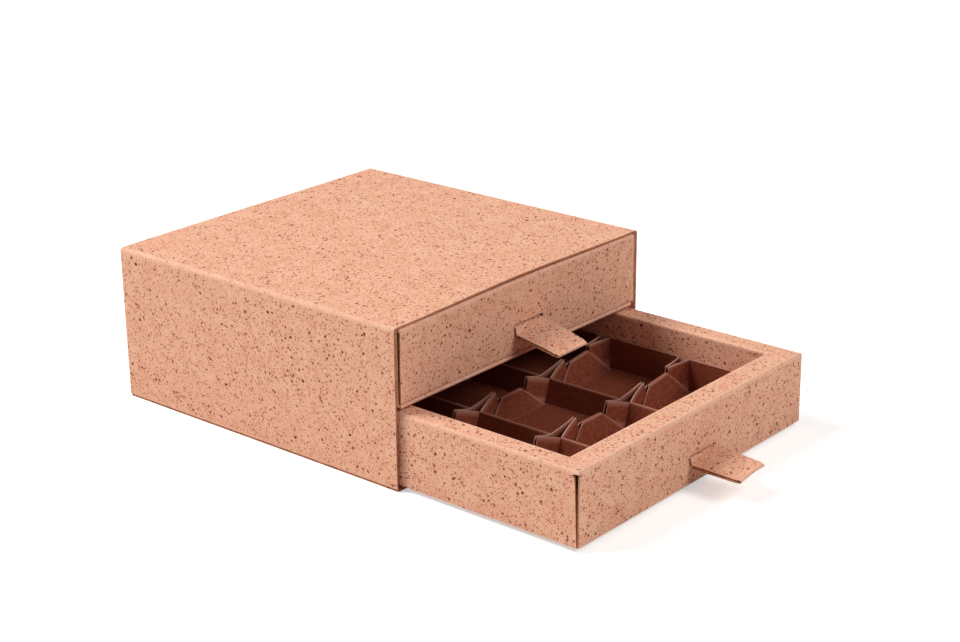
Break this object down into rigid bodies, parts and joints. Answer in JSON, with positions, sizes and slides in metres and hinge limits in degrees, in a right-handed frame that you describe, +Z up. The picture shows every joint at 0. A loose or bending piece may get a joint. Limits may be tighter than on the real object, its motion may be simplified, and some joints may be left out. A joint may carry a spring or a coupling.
{
  "type": "sliding drawer gift box",
  "caption": "Folded card gift box: a square sleeve with stacked sliding drawers, each with a paper pull tab and a folded insert that makes a grid of cells for sweets.",
  "frame": {"origin": "centre of the sleeve's footprint, on the surface that the box stands on", "axes": "+Z up; +Y towards the closed back of the sleeve, so the drawers slide out along -Y; +X to the right seen from the front"},
  "size_m": [0.12, 0.2036, 0.052],
  "materials": {
    "flecked_card": "matt peach recycled card with dense fine brown flecks",
    "flecked_paper": "matt peach recycled paper with dense fine brown flecks, folded double",
    "dark_card": "thin matt dark brown card with paler cut edges"
  },
  "bodies": {
    "sleeve": {"sleeve_wrap": "flecked_card", "sleeve_back": "flecked_card", "middle_shelf": "flecked_card"},
    "lower_drawer": {"lower_tray_frame": "flecked_card", "lower_tray_base": "flecked_card", "lower_pull_tab": "flecked_paper", "lower_insert": "dark_card"},
    "upper_drawer": {"upper_tray_frame": "flecked_card", "upper_tray_base": "flecked_card", "upper_pull_tab": "flecked_paper", "upper_insert": "dark_card"}
  },
  "joints": [
    {"name": "lower_drawer_slide", "type": "slide", "parent": "sleeve", "child": "lower_drawer", "axis": [0, -1, 0], "range_m": [-0.066, 0.034]},
    {"name": "upper_drawer_slide", "type": "slide", "parent": "sleeve", "child": "upper_drawer", "axis": [0, -1, 0], "range_m": [0, 0.1]}
  ]
}
